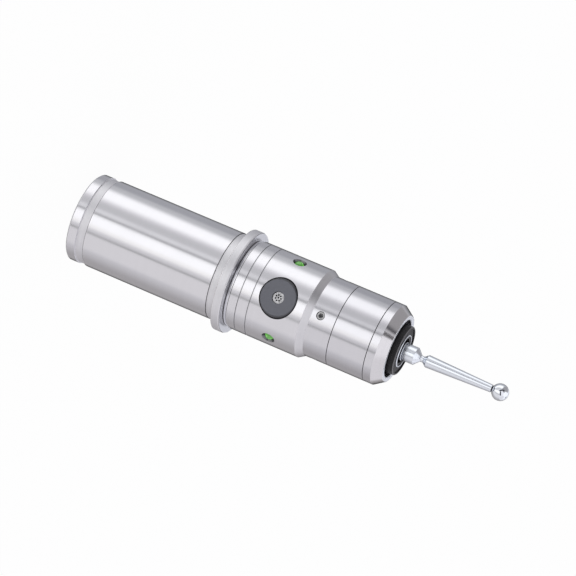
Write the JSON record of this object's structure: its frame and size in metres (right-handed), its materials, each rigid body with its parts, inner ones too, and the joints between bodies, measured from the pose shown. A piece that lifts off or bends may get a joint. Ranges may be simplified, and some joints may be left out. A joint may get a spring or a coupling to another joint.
{
  "type": "three-dimensional edge finder",
  "caption": "Straight-shank edge finder with a tilting, sprung ball stylus, green lamp windows and a sounder disc.",
  "frame": {"origin": "centre of the shank's rear rim, on which the instrument stands", "axes": "+Z along the shank to the stylus ball; the sounder disc faces -Y"},
  "size_m": [0.0373, 0.0372, 0.1623],
  "materials": {
    "ground_steel": "ground and polished tool steel",
    "satin_steel": "turned, satin",
    "plug_steel": "turned",
    "black_rubber": "matt",
    "contact_brass": "plated",
    "spring_steel": "drawn wire",
    "cell_jacket": "printed sleeve, plain",
    "pale_nylon": "moulded",
    "disc_plastic": "fine matt, moulded",
    "grille_steel": "bright, perforated",
    "black_plastic": "matt, moulded",
    "lamp_lens": "clear green epoxy",
    "board_green": "solder mask",
    "screw_steel": "blackened",
    "polished_steel": "ground and polished",
    "mirror_steel": "lapped"
  },
  "bodies": {
    "housing": {"shank": "ground_steel", "body_seal": "black_rubber", "battery_sleeve": "pale_nylon", "dry_cell_1": "cell_jacket", "dry_cell_2": "cell_jacket", "body": "satin_steel", "sounder_disc": "disc_plastic", "sounder_grille": "grille_steel", "sounder": "black_plastic", "carrier": "pale_nylon", "cell_rivet": "contact_brass", "feed_wire": "contact_brass", "circuit_board": "board_green", "control_chip": "black_plastic", "lamp_left": "lamp_lens", "lamp_right": "lamp_lens", "lamp_rear": "lamp_lens", "bulkhead_bush": "pale_nylon", "contact_stud": "contact_brass", "contact_spring": "spring_steel", "seat_housing": "satin_steel", "clamp_screws": "screw_steel", "adjusting_screws": "screw_steel", "nose_cap": "satin_steel", "return_spring": "spring_steel"},
    "contact": {"contact_disc": "contact_brass", "battery_spring": "spring_steel"},
    "plug": {"battery_plug": "plug_steel", "plug_seal": "black_rubber"},
    "sleeve": {"guide_sleeve": "plug_steel", "centring_spring": "spring_steel", "outer_pins": "plug_steel"},
    "gimbal": {"gimbal_ring": "plug_steel", "inner_pins": "plug_steel"},
    "stylus": {"stylus_holder": "polished_steel", "bumper_ring": "black_plastic", "insulating_tube": "black_plastic", "stylus_socket": "polished_steel", "stylus_stem": "polished_steel", "stylus_ball": "mirror_steel"}
  },
  "joints": [
    {"name": "over_travel", "type": "slide", "parent": "housing", "child": "sleeve", "axis": [0, 0, -1], "range_m": [0, 0.005], "stiffness_N_per_m": 600, "springref_m": -0.004, "deforming": ["return_spring", "contact_spring"]},
    {"name": "tilt_x", "type": "hinge", "parent": "sleeve", "child": "gimbal", "pos_m": [0, 0, 0.1154], "axis": [1, 0, 0], "range_deg": [-10, 10], "stiffness_Nm_per_rad": 0.5, "deforming": ["centring_spring"]},
    {"name": "tilt_y", "type": "hinge", "parent": "gimbal", "child": "stylus", "pos_m": [0, 0, 0.1154], "axis": [0, 1, 0], "range_deg": [-10, 10], "stiffness_Nm_per_rad": 0.5},
    {"name": "plug_travel", "type": "slide", "parent": "housing", "child": "contact", "axis": [0, 0, -1], "range_m": [0, 0.0046], "deforming": ["battery_spring"]},
    {"name": "plug_turn", "type": "hinge", "parent": "contact", "child": "plug", "pos_m": [0, 0, 0.005], "axis": [0, 0, -1], "range_deg": [0, 1080]}
  ],
  "couplings": [
    {"joint": "plug_travel", "follows": "plug_turn", "m_per_rad": 0.00023873}
  ]
}
